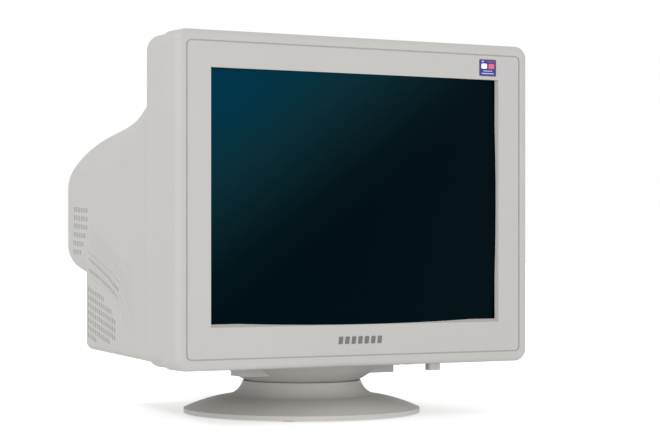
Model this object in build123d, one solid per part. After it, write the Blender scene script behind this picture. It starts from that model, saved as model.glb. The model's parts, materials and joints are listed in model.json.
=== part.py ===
"""A 15 inch colour display monitor on a tilt and swivel stand, as separate pieces.

Millimetres. +Z is up and the screen faces -Y. The origin is on the table, under the swivel axis.
"""
from build123d import *
import math
import os

# ---- driving dimensions: case
case_width = 356.0
case_height = 287.0
case_lift = 47.5            # underside of the bezel above the table
face_y = -105.0             # front face, ahead of the swivel axis
bezel_depth = 29.0
case_depth = 366.0          # front face to the back of the cover
box_depth = 66.0            # front face to the step behind the box
wall = 3.0
face_wall = 3.5
corner_radius = 11.0
rim_radius = 5.0
seam_gap = 1.2
groove_margin = 9.0
groove_width = 1.2
groove_depth = 1.0
shoulder_inset = 7.0         # from the case's side to the cover's shoulder
side_taper = 0.155
block_depth = 281.0         # front face to the back of the low block
back_fillet = 23.0
block_fillet = 3.9
least_fillet = 0.9          # of an inner edge behind a thick wall
block_top_z = 180.0         # the low block's roof, inside the hump
cover_lift = 51.5           # underside of the cover above the table

# ---- driving dimensions: screen and tube
opening_width = 291.6
opening_height = 219.0
side_draft = 4.0
bottom_draft = 6.2
screen_rise = 2.3           # the screen's middle above the case's middle
glass_radius = 2200.0
panel_width = 315.0
panel_height = 245.0
panel_depth = 52.0
panel_wall = 12.0
mask_clearance = 15.0       # from the panel's outside to the mask frame
funnel_wall = 5.0
neck_radius = 14.6
yoke_front_radius = 58.0
yoke_front_y = 48.0
yoke_back_y = 98.0
neck_front_y = 105.0
neck_end_y = 205.0

# ---- driving dimensions: stand
dish_radius = 108.0
dish_rim = 5.0
foot_drop = 1.0
dish_shoulder_radius = 67.0
dish_shoulder_height = 17.0
pedestal_radius = 54.0
pedestal_height = 30.0
dome_radius = 115.0
dome_bottom_z = 18.0
dome_wall = 3.0
hub_radius = 11.0
tilt_back = 15.0

# ---- fits
run_gap = 0.05              # radial, a shaft in its hole
part_gap = 0.3              # between neighbours that do not touch
slide_gap = 0.35            # between the dome and its bowl

seam_y = face_y + bezel_depth
cover_front_y = seam_y + seam_gap
box_back_y = face_y + box_depth
back_y = face_y + case_depth
block_back_y = face_y + block_depth
case_mid_z = case_lift + case_height / 2
case_top_z = case_lift + case_height
inner_floor_z = case_lift + wall
tilt_axis_z = dome_bottom_z + dome_radius
screen_z = case_mid_z + screen_rise
shoulder_half_width = case_width / 2 - shoulder_inset


def facing(y, z=0.0, x=0.0):
    """A plane square to Y, looking out of the front: local x is X and local y is Z."""
    return Plane((x, y, z), x_dir=(1, 0, 0), z_dir=(0, -1, 0))


def slab(width, height, radius, y_front, y_back, z_mid, x_mid=0.0):
    """A rounded rectangular block between two planes square to Y."""
    outline = RectangleRounded(width, height, radius)
    return extrude(facing(y_back, z_mid, x_mid) * outline, amount=y_back - y_front)


def block(x0, x1, y0, y1, z0, z1):
    """A box from its six faces."""
    middle = ((x0 + x1) / 2, (y0 + y1) / 2, (z0 + z1) / 2)
    return Pos(*middle) * Box(x1 - x0, y1 - y0, z1 - z0)


def rod_y(radius, y_front, y_back, x=0.0, z=0.0):
    """A cylinder along Y."""
    return extrude(facing(y_back, z, x) * Circle(radius), amount=y_back - y_front)


def rod_z(radius, z_low, z_high, x=0.0, y=0.0):
    """A cylinder along Z."""
    return Pos(x, y, (z_low + z_high) / 2) * Cylinder(radius, z_high - z_low)


def ring_y(outer, inner, y_front, y_back, x=0.0, z=0.0):
    """A ring about an axis along Y."""
    return rod_y(outer, y_front, y_back, x, z) - rod_y(inner, y_front - 1, y_back + 1, x, z)


def turned(points):
    """A solid turned about the tube's axis from (y, radius) points."""
    outline = Polyline([(radius, y, 0) for y, radius in points], close=True)
    plain = revolve(make_face(outline), axis=Axis.Y)
    return Pos(0, 0, screen_z) * plain


def cone_radius(y):
    """Outside radius of the funnel's throat at y."""
    share = (y - yoke_front_y) / (neck_front_y - yoke_front_y)
    return yoke_front_radius + share * (neck_radius - yoke_front_radius)


def cone_ring(y_front, y_back, inner_step, outer_step):
    """A ring that hugs the funnel's throat between two radial steps."""
    return turned([
        (y_front, cone_radius(y_front) + inner_step), (y_back, cone_radius(y_back) + inner_step),
        (y_back, cone_radius(y_back) + outer_step), (y_front, cone_radius(y_front) + outer_step),
    ])


# ---- screen glass and its place behind the opening
lip = 0.5                   # thinnest edge of the bezel, halfway along the opening's long sides


def bulge(distance):
    """How far the glass falls back at a distance from its middle."""
    return distance ** 2 / (2 * glass_radius)


glass_y = face_y + lip - bulge(opening_height / 2)


def glass_ball(radius_change=0.0):
    """The sphere of the glass face, grown or shrunk."""
    return Pos(0, glass_y + glass_radius, screen_z) * Sphere(glass_radius + radius_change)


# ---- front bezel and what it carries
button_y = -92.0
power_x = 84.0
power_width = 12.0
power_half_depth = 4.0
power_drop = 6.5
power_travel = 2.5
power_round = 3.0
button_edge = 0.8
flange_reach = 1.3
flange_top_z = inner_floor_z + 1.7
menu_width = 9.0
menu_half_depth = 3.0
menu_drop = 0.6
menu_travel = 0.8
menu_xs = [12.0 + 15.0 * i for i in range(4)]
lamp_x = 98.0
lamp_radius = 2.0
lug_x = panel_width / 2 + 4.5
lug_z = panel_height / 2 + 4.5
lug_y = -70.0
lug_thick = 2.5
tube_screw_radius = 2.4
tab_xs = (-114.0, 114.0)
tab_width = 24.0
tab_back_y = -56.0
case_screw_y = -64.0
case_screw_radius = 1.8
badge_size = (18.0, 15.0)
badge_x = 134.0
badge_z = case_top_z - 21.0
mark_width = 46.0
mark_z = case_lift + 23.0
label_thick = 0.3


def opening_wedge():
    """The screen opening, with sloped walls that narrow towards the glass."""
    depth = 8.0
    front = facing(face_y - 0.01, screen_z) * Rectangle(opening_width, opening_height)
    back = facing(face_y + depth, screen_z + bottom_draft / 2) * Rectangle(
        opening_width - 2 * side_draft, opening_height - bottom_draft)
    return loft([front.face(), back.face()]) + slab(
        opening_width, opening_height, 0.1, face_y - 5, face_y, screen_z)


def front_bezel():
    """The front shell: rim, set-in face, sloped screen opening, bosses and button holes."""
    shell = slab(case_width, case_height, corner_radius, face_y, seam_y, case_mid_z)
    front_edges = shell.faces().sort_by(Axis.Y)[0].edges()
    shell = fillet(front_edges, rim_radius)
    inner_width = case_width - 2 * wall
    inner_height = case_height - 2 * wall
    inner_radius = corner_radius - wall
    shell -= slab(inner_width, inner_height, inner_radius, face_y + face_wall, seam_y + 1, case_mid_z)
    groove_w = case_width - 2 * groove_margin
    groove_h = case_height - 2 * groove_margin
    groove = slab(groove_w, groove_h, 5.0, face_y - 1, face_y + groove_depth, case_mid_z)
    groove -= slab(groove_w - 2 * groove_width, groove_h - 2 * groove_width, 5.0 - groove_width,
                   face_y - 2, face_y + 2, case_mid_z)
    shell -= groove
    shell -= opening_wedge()
    behind = slab(panel_width + 4, panel_height + 4, 22.0, face_y - 20, seam_y, screen_z)
    shell -= behind & glass_ball(0.05)
    for x in (-lug_x, lug_x):
        for z in (screen_z - lug_z, screen_z + lug_z):
            boss = rod_y(5.0, face_y + 2, lug_y, x, z)
            shell += boss - rod_y(tube_screw_radius, lug_y - 14, lug_y + 1, x, z)
    for x in tab_xs:
        tab = block(x - tab_width / 2, x + tab_width / 2, face_y + 2, tab_back_y,
                    inner_floor_z + 2, inner_floor_z + 6)
        tab += block(x - tab_width / 2, x + tab_width / 2, face_y + 2, seam_y - 8,
                     inner_floor_z - 1, inner_floor_z + 6)
        shell += tab - rod_z(case_screw_radius, inner_floor_z, inner_floor_z + 8, x, case_screw_y)
    for x in tab_xs:
        top = case_top_z - wall - 2
        shell += block(x - tab_width / 2, x + tab_width / 2, face_y + 2, tab_back_y - 6, top - 4, top)
        shell += block(x - tab_width / 2, x + tab_width / 2, face_y + 2, seam_y - 8, top - 4, top + 3)
    shell -= block(power_x - power_width / 2 - part_gap, power_x + power_width / 2 + part_gap,
                   button_y - power_half_depth - part_gap, button_y + power_half_depth + part_gap,
                   case_lift - 1, inner_floor_z + 1)
    for x in menu_xs:
        shell -= block(x - menu_width / 2 - part_gap, x + menu_width / 2 + part_gap,
                       button_y - menu_half_depth - part_gap, button_y + menu_half_depth + part_gap,
                       case_lift - 1, inner_floor_z + 1)
    shell -= rod_z(lamp_radius, case_lift - 1, inner_floor_z + 1, lamp_x, button_y)
    shell -= rod_y(1.0, face_y - 1, face_y + 1, 0, mark_z)
    return shell


def power_button():
    """The hanging power button, with a flange that keeps it in the bezel."""
    half = power_width / 2
    cap = block(power_x - half, power_x + half, button_y - power_half_depth,
                button_y + power_half_depth, case_lift - power_drop, inner_floor_z + 1)
    cap = fillet(cap.edges().filter_by(Axis.Z).sort_by(Axis.Y)[:2], power_round)
    cap = fillet(cap.faces().sort_by(Axis.Z)[0].edges(), button_edge)
    cap += block(power_x - half - flange_reach, power_x + half + flange_reach,
                 button_y - power_half_depth - flange_reach, button_y + power_half_depth + flange_reach,
                 inner_floor_z + part_gap, flange_top_z)
    return cap


def menu_button(x):
    """A small push button that just shows under the bezel."""
    half = menu_width / 2
    cap = block(x - half, x + half, button_y - menu_half_depth, button_y + menu_half_depth,
                case_lift - menu_drop, inner_floor_z + 1)
    cap += block(x - half - flange_reach, x + half + flange_reach,
                 button_y - menu_half_depth - flange_reach, button_y + menu_half_depth + flange_reach,
                 inner_floor_z + part_gap, flange_top_z)
    return cap


switch_base_z = inner_floor_z + 8.0
switch_gap = 0.4            # more than a button's travel, so it never strikes its switch
small_board_thick = 1.6


def control_board():
    """The little board over the buttons."""
    return block(menu_xs[0] - 8, lamp_x + 6, button_y - 8, seam_y - 1, switch_base_z,
                 switch_base_z + small_board_thick)


def switches():
    """One switch over each button, on the control board's underside."""
    group = [block(power_x - 6, power_x + 6, button_y - 5, button_y + 5,
                   flange_top_z + power_travel + switch_gap, switch_base_z)]
    for x in menu_xs:
        group.append(block(x - 3, x + 3, button_y - 3, button_y + 3,
                           flange_top_z + menu_travel + switch_gap, switch_base_z))
    return group


def lamp_lens():
    """The power lamp's light guide."""
    return rod_z(lamp_radius - run_gap, case_lift - 0.3, switch_base_z, lamp_x, button_y)


def approval_badge():
    """A thin square label at the top right of the face."""
    return slab(badge_size[0], badge_size[1], 1.0, face_y - label_thick, face_y, badge_z, badge_x)


def maker_mark():
    """A plain printed mark in the middle of the lower face, held by one peg."""
    plate = slab(mark_width, 7.0, 3.4, face_y - label_thick, face_y, mark_z)
    return plate + rod_y(1.0 - run_gap, face_y - label_thick, face_y + 0.9, 0, mark_z)


# ---- rear cover
ridge_drops = [(60.0, 9.5), (110.0, 34.5), (150.0, 50.5), (200.0, 62.5), (265.0, 71.5), (310.0, 78.5),
               (340.0, 86.5), (case_depth, 96.5)]


def level(stations, at):
    """The value at a place along a line of (place, value) stations."""
    for (place0, value0), (place1, value1) in zip(stations, stations[1:]):
        if at <= place1:
            return value0 + (value1 - value0) * (at - place0) / (place1 - place0)
    return stations[-1][1]


def cover_top(depth):
    """Height of the cover's ridge line at a depth behind the face."""
    return case_top_z - level(ridge_drops, depth)


def half_width_at(depth):
    """Half the cover's width at a depth behind the face."""
    return shoulder_half_width - side_taper * (depth - box_depth)


def cover_section(depth, low, top, top_radius, low_radius, inset):
    """A cross-section with big upper corners and small lower ones, set in by a wall."""
    half = half_width_at(depth) - inset
    z0 = low + inset
    z1 = top - inset
    r1 = top_radius - inset
    r0 = low_radius
    k = math.sqrt(0.5)
    p = [(-half + r0, z0), (half - r0, z0), (half, z0 + r0), (half, z1 - r1),
         (half - r1, z1), (-half + r1, z1), (-half, z1 - r1), (-half, z0 + r0)]
    edges = [
        Line(p[0], p[1]),
        ThreePointArc(p[1], (half - r0 + r0 * k, z0 + r0 - r0 * k), p[2]),
        Line(p[2], p[3]),
        ThreePointArc(p[3], (half - r1 + r1 * k, z1 - r1 + r1 * k), p[4]),
        Line(p[4], p[5]),
        ThreePointArc(p[5], (-half + r1 - r1 * k, z1 - r1 + r1 * k), p[6]),
        Line(p[6], p[7]),
        ThreePointArc(p[7], (-half + r0 - r0 * k, z0 + r0 - r0 * k), p[0]),
    ]
    return (facing(face_y + depth) * make_face(edges)).face()


hump_low_z = 118.0
hump_low_radius = 28.0


def hump(inset):
    """The narrowing upper body round the tube, solid, set in by a wall."""
    start = box_depth - 6.0
    depths = [start, 110.0, 150.0, 200.0, 265.0, 310.0, 340.0, case_depth - inset]
    sections = []
    for depth in depths:
        share = (depth - start) / (case_depth - start)
        low = hump_low_z + 10.0 * max(0.0, share - 0.75) * 4
        sections.append(cover_section(depth, low, cover_top(depth), 62.0 - 26.0 * share,
                                      hump_low_radius - inset, inset))
    body = loft(sections)
    end = body.faces().sort_by(Axis.Y)[-1]
    return fillet(end.edges(), back_fillet - inset)


def low_block(inset):
    """The wide lower body round the boards, solid, set in by a wall."""
    start = box_depth - 6.0
    lower_radius = block_fillet + 4.0
    front = cover_section(start, cover_lift, block_top_z, 10.0 + inset, lower_radius, inset)
    back = cover_section(block_depth - inset, cover_lift + 2.0, block_top_z, 10.0 + inset, lower_radius,
                         inset)
    body = loft([front, back], ruled=True)
    end = body.faces().sort_by(Axis.Y)[-1]
    return fillet(end.edges(), max(block_fillet - inset, least_fillet))


def box_body(inset):
    """The front box of the cover, solid, set in by a wall."""
    shrink = 2.0
    body = slab(case_width - shrink - 2 * inset, case_height - shrink - 2 * inset,
                corner_radius - inset + 3.0, cover_front_y - (1 if inset else 0),
                box_back_y - inset, case_mid_z)
    end = body.faces().sort_by(Axis.Y)[-1]
    return fillet(end.edges(), 8.0 - inset)


inlet_x = -70.0
inlet_z = 82.0
inlet_width = 27.0
inlet_height = 20.0
gland_x = 55.0
gland_z = 80.0
gland_radius = 8.0
plate_x0 = inlet_x - 30.0
plate_x1 = gland_x + 25.0
plate_z0 = 63.0
plate_z1 = 107.0
plate_reach = 3.0
plate_flange = 1.8
stand_pad = (-88.0, 88.0, -68.0, 80.0)
stand_top_z = case_lift + 1.0
stand_screw_xs = (-60.0, 60.0)
stand_screw_y = 20.0
stand_screw_radius = 1.7
inlet_cavity = (24.0, 17.6, 16.0)       # wide, high, deep
slot_width = 2.4
slot_height = 4.6
slot_pitch = 6.7
slot_row_pitch = 7.2
slot_slope = math.radians(8.3)
short_slot_height = 3.2
vent_lines = [
    [(60.0, 119.0), (101.0, 131.5), (168.0, 146.5)],
    [(64.0, 113.5), (101.0, 124.5), (129.0, 131.5), (168.0, 140.5)],
    [(64.0, 106.0), (88.0, 113.0), (129.0, 123.0), (168.0, 130.5)],
]


def side_plane():
    """The left side wall: local x runs forward along the wall, local y is up."""
    lean = math.atan(side_taper)
    start = (-half_width_at(block_depth), block_back_y, 0)
    return Plane(start, x_dir=(-math.sin(lean), -math.cos(lean), 0),
                 z_dir=(-math.cos(lean), math.sin(lean), 0))


def mirrored(shape):
    """A shape and its copy on the other side of the case."""
    return [shape, mirror(shape, about=Plane.YZ)]


def side_slots():
    """Rows of small upright slots low on each side, falling towards the front."""
    counts = [9, 13, 15, 15, 15, 14, 6]
    cuts = []
    for row, count in enumerate(counts):
        for i in range(count):
            along = 9.0 + i * slot_pitch
            up = 111.0 - row * slot_row_pitch - (along - 9.0) * math.tan(slot_slope)
            if up > cover_lift + 12.0:
                cuts.append((along, up))
    plane = side_plane()
    sketch = Sketch() + [Pos(a, u) * Rectangle(slot_width, slot_height) for a, u in cuts]
    return mirrored(extrude(plane * sketch, amount=2 * wall, both=True))


def swept_slots():
    """Rows of short slots that follow the sweep of the side, as (y, z) lines."""
    plane = side_plane()
    sketch = Sketch()
    for line in vent_lines:
        first_y = line[0][0]
        for i in range(int((line[-1][0] - first_y) / slot_pitch) + 1):
            y = first_y + i * slot_pitch
            along = (block_back_y - y) * math.hypot(1, side_taper)
            sketch += Pos(along, level(line, y)) * Rectangle(slot_width, short_slot_height)
    return mirrored(extrude(plane * sketch, amount=2 * wall, both=True))


def corner_slots():
    """Short rows of slots round the back corner of the hump."""
    plane = side_plane()
    places = []
    for row in range(6):
        first = 3.0 - 8.0 * max(0, row - 2)
        for i in range(8 - max(0, row - 2)):
            places.append((first - i * slot_pitch, 187.0 - row * 8.0 + (i - 4) * 0.3))
    sketch = Sketch() + [Pos(a, u) * Rectangle(slot_width, slot_height) for a, u in places]
    return mirrored(extrude(plane * sketch, amount=3 * wall, both=True))


def back_slots():
    """A field of slots in the back wall of the hump and rows in its roof."""
    grid = GridLocations(8.0, 9.0, 15, 5)
    sketch = Sketch() + [spot * Rectangle(slot_width, 6.0) for spot in grid]
    back = extrude(facing(back_y + 2, 178.0) * sketch, amount=wall + 4)
    rows = GridLocations(9.0, 16.0, 13, 5)
    roof = Sketch() + [spot * Rectangle(slot_width + 0.6, 11.0) for spot in rows]
    top = extrude(Pos(0, 150, 240) * roof, amount=50)
    return [back, top]


def cover_shell():
    """The rear shell: box, hump, low block, lip, stand pad and vents."""
    outer = box_body(0.0) + hump(0.0) + low_block(0.0)
    outer += block(stand_pad[0], stand_pad[1], stand_pad[2], stand_pad[3], stand_top_z, cover_lift + 6)
    for x in stand_screw_xs:
        outer -= rod_z(stand_screw_radius, stand_top_z - 1, cover_lift + 12, x, stand_screw_y)
    inner = box_body(wall) + hump(wall) + low_block(wall)
    shell = outer - inner
    lip_width = case_width - 2 * wall - 2 * part_gap
    lip_height = case_height - 2 * wall - 2 * part_gap
    lip_ring = slab(lip_width, lip_height, corner_radius - wall, seam_y - 4, cover_front_y + 4, case_mid_z)
    lip_ring -= slab(lip_width - 3, lip_height - 3, corner_radius - wall - 1.5, seam_y - 5,
                     cover_front_y + 5, case_mid_z)
    shell += lip_ring
    shell -= side_slots()
    shell -= swept_slots()
    shell -= corner_slots()
    shell -= back_slots()
    for x in tab_xs:
        shell -= rod_z(case_screw_radius + part_gap, case_lift - 1, inner_floor_z + 4, x, case_screw_y)
        shell -= rod_z(3.6, case_lift - 1, inner_floor_z, x, case_screw_y)
    shell -= block(plate_x0, plate_x1, block_back_y - wall - 1, block_back_y + 1, plate_z0, plate_z1)
    return shell


whole_cover = cover_shell()
behind_block = block(-case_width, case_width, block_back_y, back_y + 20, 0, case_top_z + 20)


def rear_cover():
    """The cover as far as the low block's back."""
    return whole_cover - behind_block


def connector_plate():
    """The snap-in plate round the inlet and the cable gland, with a flange inside the wall."""
    inner_y = block_back_y - wall
    plate = block(plate_x0 + run_gap, plate_x1 - run_gap, inner_y, block_back_y, plate_z0 + run_gap,
                  plate_z1 - run_gap)
    plate += block(plate_x0 - plate_reach, plate_x1 + plate_reach, inner_y - plate_flange, inner_y,
                   plate_z0 - plate_reach, plate_z1 + plate_reach)
    plate -= slab(inlet_width + 0.4, inlet_height + 0.4, 2.0, block_back_y - 10, block_back_y + 5,
                  inlet_z, inlet_x)
    return plate - rod_y(gland_radius + run_gap, block_back_y - 10, block_back_y + 5, gland_x, gland_z)


def cover_back():
    """The end of the hump, which stands out over the low block's connectors."""
    return whole_cover & behind_block


# ---- picture tube
def face_panel():
    """The thick glass front of the tube."""
    back = face_y + panel_depth
    body = slab(panel_width, panel_height, 20.0, face_y - 20, back, screen_z) & glass_ball()
    hollow = slab(panel_width - 2 * panel_wall, panel_height - 2 * panel_wall, 9.0, face_y - 20,
                  back + 1, screen_z)
    return body - (hollow & glass_ball(-11.0))


def funnel_body(inset, y_back):
    """The funnel from the panel's seam to the throat, solid, set in by a wall."""
    stations = [(face_y + panel_depth, panel_width - 4, panel_height - 4, 24.0),
                (-36.0, 278.0, 212.0, 40.0), (-4.0, 206.0, 168.0, 56.0),
                (yoke_front_y, 2 * yoke_front_radius, 2 * yoke_front_radius, yoke_front_radius - 0.1)]
    sections = []
    for y, width, height, radius in stations:
        outline = RectangleRounded(width - 2 * inset, height - 2 * inset, radius - inset)
        sections.append((facing(y, screen_z) * outline).face())
    body = loft(sections, ruled=True)
    cone = turned([(yoke_front_y - 0.5, 0), (yoke_front_y - 0.5, yoke_front_radius - inset - 0.6),
                   (neck_front_y, neck_radius - inset * 0.4), (y_back, neck_radius - inset * 0.4),
                   (y_back, 0)])
    return body + cone


def funnel():
    """The glass funnel with the start of its neck."""
    end = neck_front_y + 4
    return funnel_body(0.0, end) - funnel_body(funnel_wall, end + 1)


def neck():
    """The straight glass neck."""
    tube = ring_y(neck_radius, neck_radius - 2.0, neck_front_y + 4, neck_end_y, 0, screen_z)
    return tube + rod_y(neck_radius, neck_end_y - 2.5, neck_end_y, 0, screen_z)


def pin_base():
    """The neck's end cap with its circle of pins."""
    cap = rod_y(12.0, neck_end_y, neck_end_y + 3, 0, screen_z)
    for i in range(12):
        turn = math.radians(30 * i)
        cap += rod_y(0.6, neck_end_y + 3, neck_end_y + 8, 7.6 * math.cos(turn),
                     screen_z + 7.6 * math.sin(turn))
    return cap


def shadow_mask():
    """The thin curved mask behind the screen."""
    sheet = slab(panel_width - 44, panel_height - 44, 8.0, face_y - 20, face_y + 60, screen_z)
    return (sheet & glass_ball(-20.0)) - glass_ball(-20.6)


def mask_frame():
    """The steel frame that carries the mask, and the leaf springs that hang it in the panel."""
    reach = panel_width / 2 - mask_clearance
    height = panel_height / 2 - mask_clearance
    frame = slab(2 * reach, 2 * height, 9.0, face_y + 26.5, face_y + 44, screen_z)
    frame -= slab(2 * reach - 6, 2 * height - 6, 6.0, face_y, face_y + 50, screen_z)
    group = [frame]
    for side in (-1, 1):
        xs = sorted((side * reach, side * (panel_width / 2 - panel_wall)))
        group.append(block(xs[0], xs[1], face_y + 30, face_y + 38, screen_z - 20, screen_z + 20))
        zs = sorted((screen_z + side * height, screen_z + side * (panel_height / 2 - panel_wall)))
        group.append(block(-20, 20, face_y + 30, face_y + 38, zs[0], zs[1]))
    return group


def rim_band():
    """The tension band round the panel, with its four corner lugs."""
    band = slab(panel_width + 3.2, panel_height + 3.2, 21.6, lug_y - 12, face_y + panel_depth - 4, screen_z)
    for x in (-lug_x, lug_x):
        for z in (screen_z - lug_z, screen_z + lug_z):
            band += slab(22, 22, 5.0, lug_y, lug_y + lug_thick, z - math.copysign(4, z - screen_z),
                         x - math.copysign(4, x))
            band -= rod_y(tube_screw_radius + part_gap, lug_y - 1, lug_y + lug_thick + 1, x, z)
    return band - slab(panel_width + 0.1, panel_height + 0.1, 20.05, lug_y - 20, face_y + panel_depth,
                       screen_z)


def tube_screws():
    """The four screws that hold the tube in the bezel."""
    group = []
    for x in (-lug_x, lug_x):
        for z in (screen_z - lug_z, screen_z + lug_z):
            screw = rod_y(tube_screw_radius - run_gap, lug_y - 12, lug_y + lug_thick, x, z)
            screw += rod_y(4.6, lug_y + lug_thick, lug_y + lug_thick + 3, x, z)
            group.append(screw - block(x - 3, x + 3, lug_y + lug_thick + 2, lug_y + 9, z - 0.5, z + 0.5))
    return group


def electron_gun():
    """The stack of grids in the neck, on its heater base."""
    gun = rod_y(7.0, 118, neck_end_y - 3, 0, screen_z)
    for y, radius, length in [(120, 10, 16), (139, 11, 12), (154, 10.5, 10), (167, 9.5, 6), (176, 9.5, 4),
                              (183, 9.0, 3), (189, 10.5, 8)]:
        gun += rod_y(radius, y, y + length, 0, screen_z)
    return gun - rod_y(4.0, 117, 186, 0, screen_z)


cap_y = 0.0
cap_x = 52.0


def anode_cap():
    """The rubber cup over the high voltage button on the funnel."""
    cup = rod_z(17.0, screen_z + 60, screen_z + 92, cap_x, cap_y)
    return cup - funnel_body(0.0, neck_front_y + 4)


def anode_lead():
    """The lead from the rubber cup to the line transformer."""
    start = (cap_x + 17.0, cap_y, screen_z + 88.0)
    route = [start, (cap_x + 42, cap_y + 14, screen_z + 80), (cap_x + 56, cap_y + 55, screen_z + 40),
             (cap_x + 50, cap_y + 96, screen_z - 12), (flyback_x, flyback_y, flyback_top_z + 34),
             (flyback_x, flyback_y, flyback_top_z)]
    radii = []
    for before, here, after in zip(route, route[1:], route[2:]):
        a = Vector(*here) - Vector(*before)
        b = Vector(*after) - Vector(*here)
        turn = math.radians(a.get_angle(b))
        radii.append(0.45 * min(a.length, b.length) / math.tan(turn / 2))
    path = FilletPolyline(*route, radius=radii)
    first = Vector(*route[1]) - Vector(*route[0])
    return sweep(Plane(start, z_dir=first) * Circle(2.2), path=path)


def demagnetising_coil():
    """The taped loop round the tube, just behind the rim band."""
    width = panel_width + 13.0
    height = panel_height + 13.0
    y = face_y + panel_depth + 2.0
    outer = slab(width + 8, height + 8, 34.0, y - 4, y + 4, screen_z)
    inner = slab(width - 8, height - 8, 26.0, y - 5, y + 5, screen_z)
    hoop = outer - inner
    return fillet(hoop.edges(), 2.5)


# ---- deflection
def yoke_liner():
    """The plastic former between the line and frame coils."""
    former = cone_ring(yoke_front_y + 5, yoke_back_y - 4, 6.3, 8.3)
    front = turned([(yoke_front_y + 5, 66), (yoke_front_y + 5, 76), (yoke_front_y + 8, 76),
                    (yoke_front_y + 8, cone_radius(yoke_front_y + 8) + 6.5),
                    (yoke_front_y + 5, cone_radius(yoke_front_y + 5) + 6.5)])
    back = ring_y(40, cone_radius(yoke_back_y - 6) + 7, yoke_back_y - 6, yoke_back_y - 4, 0, screen_z)
    return former + front + back


def line_coils():
    """The inner saddle coils."""
    return cone_ring(yoke_front_y + 6, yoke_back_y - 2, 1.2, 6.0)


def frame_coils():
    """The outer coils on the former."""
    return cone_ring(yoke_front_y + 8.3, yoke_back_y - 6.3, 8.6, 13.5)


def yoke_core():
    """The ferrite ring round the coils."""
    return cone_ring(yoke_front_y + 14, yoke_back_y - 10, 13.8, 20.0)


def neck_clamp():
    """The screw clamp that holds the yoke on the neck."""
    ring = ring_y(neck_radius + 3.2, neck_radius + run_gap, neck_front_y + 1, neck_front_y + 9, 0, screen_z)
    ring += block(-5, 5, neck_front_y + 1, neck_front_y + 9, screen_z + neck_radius + 1,
                  screen_z + neck_radius + 11)
    return ring - block(-1, 1, neck_front_y, neck_front_y + 10, screen_z + neck_radius - 2,
                        screen_z + neck_radius + 12)


ring_start_y = 126.0
ring_pitch = 2.6
ring_thick = 2.0
ring_count = 6
carrier_wall = 2.8
carrier_radius = neck_radius + carrier_wall
collar_reach = 4.6
ring_reach = 7.6
ring_tab_reach = 15.6


def ring_carrier():
    """The sleeve on the neck that the correction rings turn on."""
    end = ring_start_y + ring_count * ring_pitch + 7
    sleeve = ring_y(carrier_radius, neck_radius + run_gap, ring_start_y - 4, end, 0, screen_z)
    return sleeve + ring_y(carrier_radius + collar_reach, neck_radius + run_gap, ring_start_y - 6,
                           ring_start_y - 1.5, 0, screen_z)


def correction_ring(index):
    """A thin magnet ring with a finger tab."""
    y = ring_start_y + index * ring_pitch
    ring = rod_y(carrier_radius + ring_reach, y, y + ring_thick, 0, screen_z)
    lean = 14.0 * (index - 2.5)
    tab = block(-3, 3, y, y + ring_thick, carrier_radius + 2, carrier_radius + ring_tab_reach)
    tab = Pos(0, 0, screen_z) * Rot(0, lean, 0) * tab
    return ring + tab - rod_y(carrier_radius + run_gap, y - 1, y + ring_thick + 1, 0, screen_z)


def lock_ring():
    """The ring that closes the stack of correction rings."""
    y = ring_start_y + ring_count * ring_pitch + 0.6
    return ring_y(carrier_radius + collar_reach, carrier_radius, y, y + 4, 0, screen_z)


# ---- boards and what stands on them
tray_z = 58.5
tray_half = 118.0
tray_front_y = -34.0
tray_back_y = 164.0
board_z = 66.0
board_thick = 1.6
board_top_z = board_z + board_thick
flyback_x = 84.0
flyback_y = 118.0
flyback_half = 21.0
flyback_top_z = board_top_z + 58.0
knob_radius = 5.0
knob_zs = {"focus_knob": board_top_z + 42.0, "screen_knob": board_top_z + 22.0}


def chassis_tray():
    """The tray under the main board, with a low wall and standoffs."""
    tray = block(-tray_half, tray_half, tray_front_y, tray_back_y, tray_z, tray_z + 1.5)
    tray += block(-tray_half, tray_half, tray_front_y, tray_front_y + 1.5, tray_z, tray_z + 5)
    for x in (-tray_half + 10, 0, tray_half - 10):
        for y in (tray_front_y + 12, tray_back_y - 12):
            tray += rod_z(4.0, tray_z, board_z, x, y)
    return tray


def main_board():
    """The main circuit board."""
    return block(-tray_half + 2, tray_half - 2, tray_front_y + 4, tray_back_y - 2, board_z, board_top_z)


def line_transformer():
    """The potted line output transformer with its ferrite leg."""
    body = block(flyback_x - flyback_half, flyback_x + flyback_half, flyback_y - flyback_half,
                 flyback_y + flyback_half, board_top_z, flyback_top_z)
    body = fillet(body.edges().filter_by(Axis.Z), 6.0)
    for z in knob_zs.values():
        body -= rod_y(2.5 + run_gap, flyback_y + flyback_half - 8, flyback_y + flyback_half + 1,
                      flyback_x, z)
    leg = block(flyback_x - flyback_half - 14, flyback_x - flyback_half, flyback_y - 8, flyback_y + 8,
                board_top_z, board_top_z + 50)
    return body + leg


def flyback_knob(z):
    """A small trimmer knob on the transformer's back face."""
    face = flyback_y + flyback_half
    knob = rod_y(knob_radius, face + part_gap, face + 9, flyback_x, z)
    knob += rod_y(2.5, face - 7, face + 1, flyback_x, z)
    knob -= block(flyback_x - 0.6, flyback_x + 0.6, face + 7.5, face + 10, z - 6, z + 6)
    return knob


def supply_transformer():
    """The switching supply's transformer: bobbin inside a ferrite frame."""
    core = block(-98, -58, 92, 112, board_top_z, board_top_z + 36)
    core -= block(-92, -84, 91, 113, board_top_z + 6, board_top_z + 30)
    core -= block(-72, -64, 91, 113, board_top_z + 6, board_top_z + 30)
    return core + (block(-92, -64, 86, 118, board_top_z + 7, board_top_z + 29)
                   - block(-84, -72, 85, 119, board_top_z + 5, board_top_z + 31))


def mains_capacitor():
    """The large smoothing capacitor."""
    can = rod_z(15.0, board_top_z, board_top_z + 42, -30, 60)
    return fillet(can.edges().sort_by(Axis.Z)[-1], 1.5)


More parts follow.
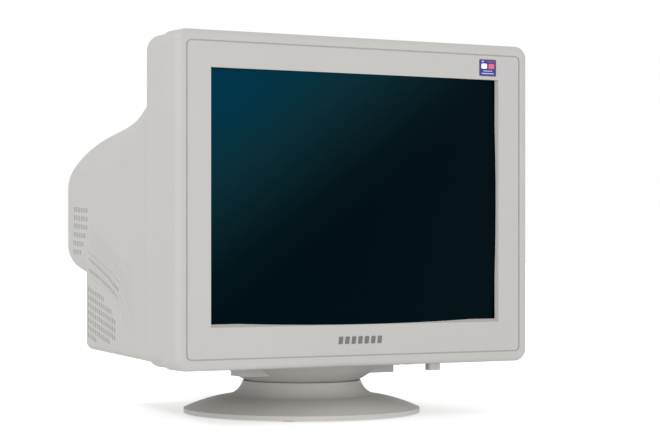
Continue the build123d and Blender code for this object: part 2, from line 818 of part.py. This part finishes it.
def heat_sink(x0, y0, count):
    """An upright aluminium plate with fins."""
    sink = block(x0, x0 + 50, y0, y0 + 3, board_top_z, board_top_z + 55)
    for i in range(count):
        x = x0 + i * (50 - 2) / (count - 1)
        sink += block(x, x + 2, y0 + 3, y0 + 14, board_top_z, board_top_z + 55)
    return sink


def board_parts():
    """Small capacitors, coils and chips spread over the main board."""
    group = []
    for i in range(14):
        x = -104 + 16 * i
        height = 12 + 5 * (i % 3)
        group.append(rod_z(4.0 + (i % 3), board_top_z, board_top_z + height, x, 20 + 9 * (i % 2)))
    for i in range(5):
        x = -90 + 42 * i
        group.append(block(x - 8, x + 8, -14, -4, board_top_z, board_top_z + 5))
    for i in range(4):
        x = 30 + 18 * i
        group.append(rod_z(6.0, board_top_z, board_top_z + 20, x, 60))
    return group


neck_board_y = 221.0


def neck_board():
    """The small board that hangs on the end of the tube."""
    board = slab(82, 76, 3.0, neck_board_y, neck_board_y + 1.6, screen_z - 6)
    return board


def tube_socket():
    """The socket on the neck board that takes the tube's pins."""
    y = neck_end_y + 3.3
    body = rod_y(19.0, y, neck_board_y, 0, screen_z)
    return body - rod_y(9.5, y - 1, y + 7, 0, screen_z)


def neck_board_parts():
    """Driver chip sink and small parts on the neck board."""
    top = neck_board_y + 1.6
    group = [block(-30, 30, top, top + 12, screen_z + 12, screen_z + 15)]
    for i in range(4):
        group.append(rod_y(4.0, top, top + 11, -30 + 20 * i, screen_z - 24))
    group.append(block(-26, 26, top, top + 4, screen_z - 12, screen_z + 2))
    return group


def mains_inlet():
    """The three-pin mains inlet in the back of the low block."""
    body = slab(inlet_width, inlet_height, 2.0, block_back_y - 28, block_back_y + 0.5, inlet_z, inlet_x)
    body += slab(inlet_width + 5, inlet_height + 5, 3.0, block_back_y + 0.3, block_back_y + 2, inlet_z,
                 inlet_x)
    wide, high, deep = inlet_cavity
    return body - slab(wide, high, 3.0, block_back_y - deep, block_back_y + 3, inlet_z, inlet_x)


def inlet_pins():
    """The inlet's three flat pins."""
    pins = []
    for dx, dz in ((-7.0, -2.5), (0.0, 1.5), (7.0, -2.5)):
        pins.append(block(inlet_x + dx - 1, inlet_x + dx + 1, block_back_y - inlet_cavity[2],
                          block_back_y - 2, inlet_z + dz - 2, inlet_z + dz + 2))
    return pins


def signal_gland():
    """The rubber gland that the signal cable leaves by."""
    gland = rod_y(gland_radius, block_back_y - wall - 3, block_back_y + 12, gland_x, gland_z)
    gland += rod_y(gland_radius + 3, block_back_y + 0.2, block_back_y + 3, gland_x, gland_z)
    return gland - rod_y(3.3, block_back_y - 20, block_back_y + 20, gland_x, gland_z)


def case_screws():
    """The two screws up through the cover into the bezel's tongues."""
    group = []
    for x in tab_xs:
        screw = rod_z(case_screw_radius - run_gap, inner_floor_z - 0.5, inner_floor_z + 6, x, case_screw_y)
        group.append(screw + rod_z(3.2, inner_floor_z - 2.8, inner_floor_z - 0.3, x, case_screw_y))
    return group


# ---- stand
def ball(radius):
    """A sphere about the tilt centre."""
    return Pos(0, 0, tilt_axis_z) * Sphere(radius)


dome_top_z = case_lift - 0.5
plate_inset = 0.83
plate_drop = 3.0
plate_radius = math.sqrt(dome_radius ** 2 - (tilt_axis_z - dome_top_z + plate_drop) ** 2) - plate_inset
plate_wall = 12.0
hub_slot_half = dome_radius * math.sin(math.radians(tilt_back)) + hub_radius + 1.5


def dome_connector():
    """The round-bottomed piece under the case, with the slot that lets it tilt."""
    band = rod_z(90, 0, dome_top_z)
    dome = (ball(dome_radius) & band) - ball(dome_radius - dome_wall)
    low = dome_top_z - plate_drop
    plate = rod_z(plate_radius, low, stand_top_z) - rod_z(plate_radius - plate_wall, 0, stand_top_z + 1)
    plate += block(-76.6, 76.6, -36, -7, 36.5, stand_top_z) - ball(dome_radius - dome_wall)
    reach = plate_radius - plate_wall / 2
    bar = block(-reach, reach, stand_screw_y - 10, stand_screw_y + 10, low, stand_top_z)
    piece = dome + plate + bar
    slot = block(-hub_radius - slide_gap, hub_radius + slide_gap, -hub_slot_half, hub_slot_half, 0, 40)
    piece -= slot
    for x in stand_screw_xs:
        piece -= rod_z(stand_screw_radius, dome_top_z - 4, stand_top_z + 1, x, stand_screw_y)
    return piece


def stand_base():
    """The dish and its pedestal: a thin shell whose top is a bowl for the dome."""
    k = dish_shoulder_radius
    outer = [(0, foot_drop), (dish_radius, foot_drop), (dish_radius, dish_rim)]
    profile = Polyline(*[(r, 0, z) for r, z in outer])
    sweep_top = Spline([(dish_radius, 0, dish_rim), (90, 0, 12.0), (k, 0, dish_shoulder_height)])
    flare = Spline([(k, 0, dish_shoulder_height), (59.0, 0, 21.5), (pedestal_radius, 0, pedestal_height)])
    close = Polyline((pedestal_radius, 0, pedestal_height), (0, 0, pedestal_height), (0, 0, foot_drop))
    solid = revolve(make_face([*profile.edges(), *sweep_top.edges(), *flare.edges(), *close.edges()]),
                    axis=Axis.Z)
    bowl_radius = dome_radius + slide_gap
    solid -= ball(bowl_radius)
    hollow = rod_z(dish_radius - 4, -1, 3) + rod_z(82, -1, 8)
    lower = ball(bowl_radius + wall)
    base = solid - ((hollow + rod_z(48, -1, 30)) - lower)
    base -= rod_z(hub_radius + run_gap, -1, 40)
    for i in range(8):
        turn = math.radians(45 * i + 22.5)
        rib = Rot(0, 0, math.degrees(turn)) * block(49, 82, -1, 1, 1.0, 9)
        base += rib & solid
    for x, y in foot_places():
        base += rod_z(8.5, foot_drop, 6, x, y) & solid
        base -= rod_z(7.0, -1, 3, x, y)
    return base


def foot_places():
    """Centres of the five feet under the dish."""
    ring = dish_radius - 15
    turns = [math.radians(90 + 72 * i) for i in range(5)]
    return [(ring * math.cos(t), ring * math.sin(t)) for t in turns]


def rubber_feet():
    """Soft round pads set into the dish."""
    return [rod_z(6.9, 0, 3, x, y) for x, y in foot_places()]


def swivel_hub():
    """The hub that joins dome and dish: a neck in the bowl's hole under a curved flange."""
    flange = (ball(dome_radius - dome_wall - slide_gap) - ball(dome_radius - 2 * dome_wall))
    flange &= rod_z(21.0, 0, 60)
    neck_part = rod_z(hub_radius, 7.5, 26) & ball(dome_radius - dome_wall - slide_gap + 60)
    neck_part -= ball(dome_radius - 2 * dome_wall - 4)
    hub = flange + neck_part
    return hub - rod_z(2.6, 0, 40)


def hub_washer():
    """The ring that keeps the hub in the dish from below."""
    return rod_z(19.0, 5.4, 7.5) - rod_z(2.7, 0, 20)


def hub_screw():
    """The screw that clamps the washer to the hub."""
    return rod_z(2.55, 5.4, 22.0) + rod_z(5.0, 2.6, 5.4)


pieces = {
    "front_bezel": front_bezel, "rear_cover": rear_cover, "power_button": power_button,
    "control_board": control_board, "switches": switches, "lamp_lens": lamp_lens,
    "approval_badge": approval_badge, "maker_mark": maker_mark, "face_panel": face_panel,
    "funnel": funnel, "neck": neck, "pin_base": pin_base, "shadow_mask": shadow_mask,
    "mask_frame": mask_frame, "rim_band": rim_band, "cover_back": cover_back,
    "tube_screws": tube_screws, "electron_gun": electron_gun, "anode_cap": anode_cap,
    "anode_lead": anode_lead, "demagnetising_coil": demagnetising_coil, "yoke_liner": yoke_liner,
    "line_coils": line_coils, "frame_coils": frame_coils, "yoke_core": yoke_core,
    "neck_clamp": neck_clamp, "ring_carrier": ring_carrier, "lock_ring": lock_ring,
    "chassis_tray": chassis_tray, "main_board": main_board, "line_transformer": line_transformer,
    "supply_transformer": supply_transformer, "mains_capacitor": mains_capacitor,
    "neck_board": neck_board, "tube_socket": tube_socket, "connector_plate": connector_plate,
    "mains_inlet": mains_inlet, "inlet_pins": inlet_pins,
    "signal_gland": signal_gland, "case_screws": case_screws, "dome_connector": dome_connector,
    "stand_base": stand_base, "rubber_feet": rubber_feet, "swivel_hub": swivel_hub,
    "hub_washer": hub_washer, "hub_screw": hub_screw,
}
for number, x in enumerate(menu_xs, 1):
    pieces[f"menu_button_{number}"] = lambda x=x: menu_button(x)
for number in range(ring_count):
    pieces[f"correction_ring_{number + 1}"] = lambda number=number: correction_ring(number)
for name, z in knob_zs.items():
    pieces[name] = lambda z=z: flyback_knob(z)
pieces["board_parts"] = lambda: board_parts() + neck_board_parts()
pieces["heat_sinks"] = lambda: [heat_sink(-48.0, 120.0, 7), heat_sink(6.0, 90.0, 6)]

os.makedirs("parts", exist_ok=True)
for name, make in pieces.items():
    shape = make()
    solids = []
    for item in shape if isinstance(shape, list) else [shape]:
        solids += item.solids()
    export_step(Compound(children=solids), f"parts/{name}.step")
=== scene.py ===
"""The look of a 15 inch colour display monitor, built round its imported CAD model.

Metres. +Z is up and the screen faces -Y. The origin is on the table, under the swivel axis.
"""
import json
import math
import bpy
import bmesh
from mathutils import Matrix, Vector
from mathutils.bvhtree import BVHTree
from mathutils.geometry import interpolate_bezier


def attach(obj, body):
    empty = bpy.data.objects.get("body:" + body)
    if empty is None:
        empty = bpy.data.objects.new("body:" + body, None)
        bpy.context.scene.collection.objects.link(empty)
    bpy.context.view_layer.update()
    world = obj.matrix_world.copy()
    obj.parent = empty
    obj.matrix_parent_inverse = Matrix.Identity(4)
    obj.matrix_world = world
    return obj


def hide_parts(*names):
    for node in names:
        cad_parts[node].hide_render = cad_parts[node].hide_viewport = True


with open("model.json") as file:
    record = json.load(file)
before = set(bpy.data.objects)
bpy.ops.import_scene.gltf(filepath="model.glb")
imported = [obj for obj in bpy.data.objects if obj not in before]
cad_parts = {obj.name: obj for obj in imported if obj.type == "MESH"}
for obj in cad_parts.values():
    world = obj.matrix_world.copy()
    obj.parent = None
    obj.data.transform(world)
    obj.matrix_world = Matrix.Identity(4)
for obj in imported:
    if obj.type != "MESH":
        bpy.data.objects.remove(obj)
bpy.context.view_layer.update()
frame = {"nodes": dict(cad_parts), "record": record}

nodes = frame["nodes"]
scene = bpy.context.scene
MM = 0.001


# ---- camera, lights and floor
def aim(thing, target):
    """Points a camera or lamp at a place."""
    thing.rotation_euler = (Vector(target) - thing.location).to_track_quat("-Z", "Y").to_euler()


def make_camera():
    """A level long lens, thirty degrees round to the viewer's left."""
    turn = math.radians(30.0)
    data = bpy.data.cameras.new("camera")
    data.lens = 115.1
    data.sensor_width = 36.0
    data.shift_y = 0.035
    data.clip_start = 0.05
    camera = bpy.data.objects.new("camera", data)
    scene.collection.objects.link(camera)
    camera.location = (-0.944, -1.687, 0.155)
    aim(camera, camera.location + Vector((math.sin(turn), math.cos(turn), 0.0)))
    scene.camera = camera


def area_light(name, location, target, size, power, colour=(1.0, 1.0, 1.0)):
    """One soft rectangular lamp."""
    data = bpy.data.lights.new(name, "AREA")
    data.shape = "RECTANGLE"
    data.size, data.size_y = size
    data.energy = power
    data.color = colour
    lamp = bpy.data.objects.new(name, data)
    scene.collection.objects.link(lamp)
    lamp.location = location
    aim(lamp, target)
    return lamp


def make_lights():
    """A small key on the right, a wide lamp in front, a fill from above on the left and a white world."""
    middle = (0.0, 0.0, 0.18)
    area_light("key", (0.40, -2.1, 0.80), middle, (0.42, 0.5), 4.0)
    area_light("front", (-0.9, -2.3, 0.25), middle, (1.2, 0.4), 16.0)
    area_light("fill", (-1.7, 0.2, 1.9), middle, (0.4, 0.4), 17.0)
    world = bpy.data.worlds.new("world")
    scene.world = world
    world.use_nodes = True
    background = world.node_tree.nodes["Background"]
    background.inputs["Color"].default_value = (1.0, 1.0, 1.0, 1.0)
    background.inputs["Strength"].default_value = 1.0
    scene.view_settings.view_transform = "Standard"


def make_floor():
    """A wide pale floor, faintly lit from within so that the shadow on it stays light."""
    mesh = bpy.data.meshes.new("floor")
    reach = 12.0
    corners = [(-reach, -reach, 0), (reach, -reach, 0), (reach, reach, 0), (-reach, reach, 0)]
    mesh.from_pydata(corners, [], [(0, 1, 2, 3)])
    floor = bpy.data.objects.new("floor", mesh)
    scene.collection.objects.link(floor)
    white = plastic("floor_white", (0.62, 0.62, 0.62), 0.9, grain=0.0, spread=0.005)
    shader = white.node_tree.nodes["Principled BSDF"]
    shader.inputs["Emission Color"].default_value = (1.0, 1.0, 1.0, 1.0)
    shader.inputs["Emission Strength"].default_value = 0.5
    floor.data.materials.append(white)


# ---- materials
def new_material(name):
    """An empty node material with its Principled shader."""
    material = bpy.data.materials.new(name)
    material.use_nodes = True
    return material, material.node_tree, material.node_tree.nodes["Principled BSDF"]


def add(tree, kind, **values):
    """A node with some of its sockets or settings filled in."""
    node = tree.nodes.new(kind)
    for key, value in values.items():
        if hasattr(node, key):
            setattr(node, key, value)
        else:
            node.inputs[key.replace("_", " ")].default_value = value
    return node


def noise(tree, scale, detail=4.0, stretch=(1.0, 1.0, 1.0)):
    """A noise texture in object space."""
    place = add(tree, "ShaderNodeTexCoord")
    mapping = add(tree, "ShaderNodeMapping")
    mapping.inputs["Scale"].default_value = stretch
    texture = add(tree, "ShaderNodeTexNoise", Scale=scale, Detail=detail)
    tree.links.new(place.outputs["Object"], mapping.inputs["Vector"])
    tree.links.new(mapping.outputs["Vector"], texture.inputs["Vector"])
    return texture


def vary_colour(tree, shader, colour, spread, scale, stretch=(1.0, 1.0, 1.0)):
    """Drifts the base colour a little either side of its mean."""
    ramp = add(tree, "ShaderNodeValToRGB")
    ramp.color_ramp.elements[0].position = 0.3
    ramp.color_ramp.elements[1].position = 0.7
    ramp.color_ramp.elements[0].color = [c * (1 - spread) for c in colour] + [1]
    ramp.color_ramp.elements[1].color = [min(1.0, c * (1 + spread)) for c in colour] + [1]
    texture = noise(tree, scale, 5.0, stretch)
    tree.links.new(texture.outputs["Fac"], ramp.inputs["Fac"])
    tree.links.new(ramp.outputs["Color"], shader.inputs["Base Color"])


def vary_roughness(tree, shader, low, high, scale):
    """Mottles the gloss between two roughness values."""
    spread = add(tree, "ShaderNodeMapRange")
    spread.inputs["To Min"].default_value = low
    spread.inputs["To Max"].default_value = high
    tree.links.new(noise(tree, scale).outputs["Fac"], spread.inputs["Value"])
    tree.links.new(spread.outputs["Result"], shader.inputs["Roughness"])


def bump(tree, shader, height, strength, distance):
    """Raises a height socket as bump."""
    node = add(tree, "ShaderNodeBump", Strength=strength, Distance=distance)
    tree.links.new(height, node.inputs["Height"])
    tree.links.new(node.outputs["Normal"], shader.inputs["Normal"])


def plastic(name, colour, rough, grain=0.25, spread=0.03, grain_scale=2600.0):
    """Moulded plastic: fine spark grain, faint flow mottling and uneven gloss."""
    material, tree, shader = new_material(name)
    vary_colour(tree, shader, colour, spread, 14.0)
    vary_roughness(tree, shader, rough - 0.06, rough + 0.06, 220.0)
    shader.inputs["Specular IOR Level"].default_value = 0.26
    if grain:
        bump(tree, shader, noise(tree, grain_scale, 2.0).outputs["Fac"], grain, 0.00006)
    return material


def metal(name, colour, rough, stretch=(1.0, 1.0, 30.0), spread=0.08):
    """Rolled or drawn metal with fine lengthwise scratches."""
    material, tree, shader = new_material(name)
    shader.inputs["Metallic"].default_value = 1.0
    vary_colour(tree, shader, colour, spread, 60.0, stretch)
    vary_roughness(tree, shader, rough - 0.08, rough + 0.1, 90.0)
    bump(tree, shader, noise(tree, 700.0, 3.0, stretch).outputs["Fac"], 0.2, 0.00005)
    return material


def screen_glass():
    """Dark face glass whose blue-green base colour is a painted reflection, brightest at the upper left
    corner and fading towards the lower right; the teal specular tint gives the coat's real reflection of the
    lamps.
    """
    material, tree, shader = new_material("screen_glass")
    place = add(tree, "ShaderNodeTexCoord")
    along = add(tree, "ShaderNodeVectorMath", operation="DOT_PRODUCT")
    along.inputs[1].default_value = (0.595, 0.0, -0.87)
    # Painted reflection: the base colour is a blue-green glow painted brightest at the upper left of the
    # face, fading to near black towards the lower right.
    painted_reflection_fade = add(tree, "ShaderNodeMapRange")
    painted_reflection_fade.inputs["From Min"].default_value = -0.337
    painted_reflection_fade.inputs["From Max"].default_value = -0.137
    ramp = add(tree, "ShaderNodeValToRGB")
    painted_reflection_stops = [(0.0, (0.0001, 0.0212, 0.0430)), (0.20, (0.0007, 0.0193, 0.0320)),
             (0.375, (0.0022, 0.0148, 0.0212)), (0.55, (0.0016, 0.0082, 0.0106)),
             (0.72, (0.0006, 0.0030, 0.0036)), (0.88, (0.0002, 0.0013, 0.0018))]
    colours = ramp.color_ramp.elements
    while len(colours) < len(painted_reflection_stops):
        colours.new(0.5)
    for element, (position, colour) in zip(colours, painted_reflection_stops):
        element.position = position
        element.color = [*colour, 1]
    tree.links.new(place.outputs["Object"], along.inputs[0])
    tree.links.new(along.outputs["Value"], painted_reflection_fade.inputs["Value"])
    tree.links.new(painted_reflection_fade.outputs["Result"], ramp.inputs["Fac"])
    tree.links.new(ramp.outputs["Color"], shader.inputs["Base Color"])
    vary_roughness(tree, shader, 0.26, 0.29, 35.0)
    shader.inputs["IOR"].default_value = 1.2
    shader.inputs["Specular IOR Level"].default_value = 0.35
    shader.inputs["Specular Tint"].default_value = (0.0, 0.46, 0.78, 1.0)
    bump(tree, shader, noise(tree, 900.0, 2.0).outputs["Fac"], 0.03, 0.00002)
    return material


def clear_glass(name, colour, rough):
    """Thin clear glass."""
    material, tree, shader = new_material(name)
    vary_colour(tree, shader, colour, 0.04, 20.0)
    vary_roughness(tree, shader, rough, rough + 0.05, 60.0)
    shader.inputs["Transmission Weight"].default_value = 0.85
    return material


def windings(name, colour):
    """Enamelled wire laid in close turns."""
    material, tree, shader = new_material(name)
    vary_colour(tree, shader, colour, 0.25, 60.0, (1.0, 12.0, 1.0))
    vary_roughness(tree, shader, 0.25, 0.4, 80.0)
    shader.inputs["Metallic"].default_value = 0.6
    wires = add(tree, "ShaderNodeTexWave", Scale=420.0, Distortion=1.0)
    place = add(tree, "ShaderNodeTexCoord")
    tree.links.new(place.outputs["Object"], wires.inputs["Vector"])
    bump(tree, shader, wires.outputs["Fac"], 0.7, 0.0004)
    return material


def circuit_board(name, colour):
    """Solder-masked laminate with faint tracks."""
    material, tree, shader = new_material(name)
    tracks = add(tree, "ShaderNodeTexBrick", Scale=60.0)
    tracks.inputs["Color1"].default_value = [*colour, 1]
    tracks.inputs["Color2"].default_value = [c * 1.25 for c in colour] + [1]
    tracks.inputs["Mortar"].default_value = [c * 0.5 for c in colour] + [1]
    place = add(tree, "ShaderNodeTexCoord")
    tree.links.new(place.outputs["Object"], tracks.inputs["Vector"])
    tree.links.new(tracks.outputs["Color"], shader.inputs["Base Color"])
    vary_roughness(tree, shader, 0.3, 0.5, 90.0)
    bump(tree, shader, tracks.outputs["Fac"], 0.3, 0.0001)
    return material


CASE = (0.384, 0.377, 0.362)
looks = {
    "case_plastic": lambda: plastic("case_plastic", CASE, 0.52, 0.3, 0.012),
    "stand_plastic": lambda: plastic("stand_plastic", (0.42, 0.405, 0.388), 0.5, 0.3, 0.015),
    "button_plastic": lambda: plastic("button_plastic", (0.36, 0.35, 0.34), 0.42, 0.15, 0.02),
    "badge_print": lambda: plastic("badge_print", (0.035, 0.035, 0.16), 0.25, 0.1, 0.10),
    "mark_print": lambda: plastic("mark_print", (0.13, 0.13, 0.13), 0.5, 0.2, 0.06),
    "lamp_plastic": lambda: clear_glass("lamp_plastic", (0.2, 0.75, 0.3), 0.15),
    "screen_glass": screen_glass,
    "funnel_glass": lambda: plastic("funnel_glass", (0.03, 0.03, 0.033), 0.6, 0.4, 0.2, 900.0),
    "neck_glass": lambda: clear_glass("neck_glass", (0.85, 0.92, 0.92), 0.04),
    "steel": lambda: metal("steel", (0.52, 0.52, 0.53), 0.35),
    "mask_steel": lambda: metal("mask_steel", (0.12, 0.12, 0.13), 0.5),
    "gun_steel": lambda: metal("gun_steel", (0.6, 0.6, 0.6), 0.25, (1.0, 30.0, 1.0)),
    "black_rubber": lambda: plastic("black_rubber", (0.02, 0.02, 0.021), 0.75, 0.5, 0.15, 1400.0),
    "lead_plastic": lambda: plastic("lead_plastic", (0.28, 0.03, 0.025), 0.4, 0.15, 0.08),
    "black_tape": lambda: plastic("black_tape", (0.025, 0.025, 0.026), 0.5, 0.6, 0.2, 500.0),
    "liner_plastic": lambda: plastic("liner_plastic", (0.72, 0.70, 0.64), 0.45, 0.2, 0.04),
    "coil_wire": lambda: windings("coil_wire", (0.42, 0.13, 0.04)),
    "ferrite": lambda: plastic("ferrite", (0.055, 0.055, 0.058), 0.65, 0.6, 0.2, 900.0),
    "ring_plastic": lambda: plastic("ring_plastic", (0.07, 0.07, 0.07), 0.5, 0.3, 0.15),
    "board_green": lambda: circuit_board("board_green", (0.10, 0.16, 0.05)),
    "black_plastic": lambda: plastic("black_plastic", (0.02, 0.02, 0.022), 0.38, 0.2, 0.15),
    "aluminium": lambda: metal("aluminium", (0.72, 0.72, 0.73), 0.32),
    "capacitor_sleeve": lambda: plastic("capacitor_sleeve", (0.03, 0.05, 0.16), 0.3, 0.1, 0.2),
    "brass_pin": lambda: metal("brass_pin", (0.78, 0.62, 0.34), 0.28, (1.0, 30.0, 1.0)),
    "screw_steel": lambda: metal("screw_steel", (0.55, 0.55, 0.54), 0.3),
    "knob_plastic": lambda: plastic("knob_plastic", (0.62, 0.60, 0.54), 0.4, 0.2, 0.05),
}


def dress_nodes():
    """Gives every CAD node the material of its slot in the record."""
    made = {}
    for entry in frame["record"]["subparts"]:
        name = entry["material_slot"]
        if name not in made:
            made[name] = looks[name]()
        data = nodes[entry["node"]].data
        data.materials.clear()
        data.materials.append(made[name])
    return made


# ---- ribs that sweep down the cover's sides
def wall_finder(*names):
    """A lookup that drops points sideways on to the surface of some CAD nodes."""
    far = 0.4
    points = []
    faces = []
    for name in names:
        mesh = nodes[name].data
        first = len(points)
        points += [v.co.copy() for v in mesh.vertices]
        faces += [[first + i for i in p.vertices] for p in mesh.polygons]
    tree = BVHTree.FromPolygons(points, faces)

    def drop(side, y, z):
        hit, normal, _, _ = tree.ray_cast(Vector((side * far, y, z)), Vector((-side, 0.0, 0.0)))
        return hit, normal
    return drop


# Each rib's (y, z) waypoints in millimetres, from the rear forwards and down.
RIB_POINTS = [
    [(169, 170), (124, 160), (77, 147), (40, 136), (9, 125)],
    [(180, 166), (132, 156), (85, 143), (44, 129), (9, 114)],
    [(177, 158), (126, 147), (74, 134), (38, 120), (8, 104)],
    [(186, 154), (101, 134), (64, 124), (38, 114), (8, 90)],
    [(177, 146), (101, 129), (72, 121), (42, 108), (13, 83)],
    [(170, 138), (129, 128), (88, 117), (54, 103), (23, 81)],
    [(170, 126), (129, 118), (92, 110), (64, 100), (33, 79)],
]


def rib_line(waypoints, steps=10):
    """A smooth line through a rib's (y, z) waypoints in millimetres, as points in metres."""
    spots = [Vector((y * MM, z * MM, 0.0)) for y, z in waypoints]
    ends = [spots[0] * 2 - spots[1], *spots, spots[-1] * 2 - spots[-2]]
    line = []
    for before, here, after, beyond in zip(ends, ends[1:], ends[2:], ends[3:]):
        leave = here + (after - before) / 6
        arrive = after - (beyond - here) / 6
        line += interpolate_bezier(here, leave, arrive, after, steps)[:-1]
    return line + [spots[-1]]


def make_rib(name, waypoints, side, drop, material):
    """One soft ridge, tapered away at both ends, laid on the wall."""
    half_width = 2.7 * MM
    height = 1.3 * MM
    sink = 0.2 * MM
    across_steps = 10
    least_slope = 0.6        # points where the wall faces away from the side are left out
    taper = 1 / 8            # share of the length over which each end rises
    points = rib_line(waypoints)
    shape = bmesh.new()
    rings = []
    for k, point in enumerate(points):
        hit, normal = drop(side, point.x, point.y)
        if hit is None or abs(normal.x) < least_slope:
            continue
        ahead = points[min(k + 1, len(points) - 1)] - points[max(k - 1, 0)]
        along = Vector((0.0, ahead.x, ahead.y)).normalized()
        across = along.cross(normal).normalized()
        from_end = min(k, len(points) - 1 - k) / len(points)
        fade = math.sin(math.pi / 2 * min(1.0, from_end / taper)) + 0.02
        ring = []
        for step in range(across_steps + 1):
            share = 2.0 * step / across_steps - 1.0
            lift = height * fade * math.cos(math.pi / 2 * share) ** 2
            ring.append(shape.verts.new(hit + across * share * half_width + normal * (lift - sink)))
        ring.append(shape.verts.new(hit - normal * 2 * sink))
        rings.append(ring)
    count = len(rings[0])
    for first, second in zip(rings, rings[1:]):
        for step in range(count):
            after = (step + 1) % count
            shape.faces.new((first[step], first[after], second[after], second[step]))
    shape.faces.new(rings[0])
    shape.faces.new(reversed(rings[-1]))
    bmesh.ops.recalc_face_normals(shape, faces=shape.faces)
    return finish_mesh(name, shape, material)


def finish_mesh(name, shape, material, smooth=True):
    """Turns a bmesh into an object with a material."""
    mesh = bpy.data.meshes.new(name)
    shape.to_mesh(mesh)
    shape.free()
    piece = bpy.data.objects.new(name, mesh)
    scene.collection.objects.link(piece)
    mesh.materials.append(material)
    if smooth:
        mesh.shade_smooth()
    return piece


def make_ribs(material):
    """The same ribs on both sides of the cover."""
    drop = wall_finder("rear_cover", "cover_back")
    for side, word in ((-1, "left"), (1, "right")):
        for number, waypoints in enumerate(RIB_POINTS, 1):
            rib = make_rib(f"rib_{word}_{number}", waypoints, side, drop, material)
            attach(rib, "display")


# ---- printed badge and mark on the front
def extent(name):
    """The lowest and highest corners of a CAD node."""
    points = [v.co for v in nodes[name].data.vertices]
    low = Vector([min(p[i] for p in points) for i in range(3)])
    high = Vector([max(p[i] for p in points) for i in range(3)])
    return low, high


def flat_plate(shape, centre, size, radius, depth, lean=0.0):
    """Adds a thin rounded plate, square to Y, to a mesh; lean slants its upright sides."""
    (x, y, z), (width, height) = centre, size
    rim = []
    for turn in range(0, 360, 15):
        a = math.radians(turn)
        px = math.copysign(width / 2 - radius, math.cos(a)) + radius * math.cos(a)
        pz = math.copysign(height / 2 - radius, math.sin(a)) + radius * math.sin(a)
        rim.append((px + lean * pz, pz))
    front = [shape.verts.new((x + px * 0.97, y - depth, z + pz * 0.97)) for px, pz in rim]
    middle = [shape.verts.new((x + px, y - depth * 0.7, z + pz)) for px, pz in rim]
    back = [shape.verts.new((x + px, y, z + pz)) for px, pz in rim]
    for near, far in ((front, middle), (middle, back)):
        for i in range(len(rim)):
            j = (i + 1) % len(rim)
            shape.faces.new((near[i], near[j], far[j], far[i]))
    shape.faces.new(front)
    shape.faces.new(reversed(back))


def make_badge():
    """Plain coloured fields printed on the blue label at the top right."""
    low, high = extent("approval_badge")
    middle = (low + high) / 2
    sink = 0.02 * MM
    skin = 0.12 * MM
    fields = [
        ("badge_pale_field", (0.78, 0.78, 0.86), [((-3.9, 1.4), (6.2, 4.6), 1.2)]),
        ("badge_rose_field", (0.62, 0.10, 0.16), [((3.9, 1.4), (6.2, 4.6), 1.2)]),
        ("badge_plum_field", (0.16, 0.05, 0.13), [((3.4, 5.7), (8.6, 1.6), 0.5)]),
        ("badge_lines", (0.32, 0.34, 0.60),
         [((0.0, -2.9), (10.0, 0.9), 0.4), ((0.0, -5.2), (13.4, 1.1), 0.5), ((-5.4, 5.7), (2.6, 1.6), 0.7)]),
    ]
    for name, colour, plates in fields:
        shape = bmesh.new()
        for (dx, dz), (width, height), radius in plates:
            flat_plate(shape, (middle.x + dx * MM, low.y + sink, middle.z + dz * MM),
                       (width * MM, height * MM), radius * MM, skin)
        bmesh.ops.recalc_face_normals(shape, faces=shape.faces)
        piece = finish_mesh(name, shape, plastic(name, colour, 0.28, 0.1, 0.06), smooth=False)
        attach(piece, "display")


def make_mark(material):
    """A row of seven slanted bars in place of the plain mark."""
    low, high = extent("maker_mark")
    middle = (low + high) / 2
    bars = 7
    pitch = (high.x - low.x) / bars
    size = (4.3 * MM, 6.6 * MM)
    corner = 1.0 * MM
    depth = 0.3 * MM
    lean = 0.12
    shape = bmesh.new()
    for i in range(bars):
        x = middle.x + (i - (bars - 1) / 2) * pitch
        flat_plate(shape, (x, low.y + depth, middle.z), size, corner, depth, lean)
    bmesh.ops.recalc_face_normals(shape, faces=shape.faces)
    piece = finish_mesh("front_mark", shape, material, smooth=False)
    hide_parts("maker_mark")
    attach(piece, "display")


make_camera()
make_lights()
made = dress_nodes()
make_floor()
make_ribs(made["case_plastic"])
make_badge()
make_mark(made["mark_print"])
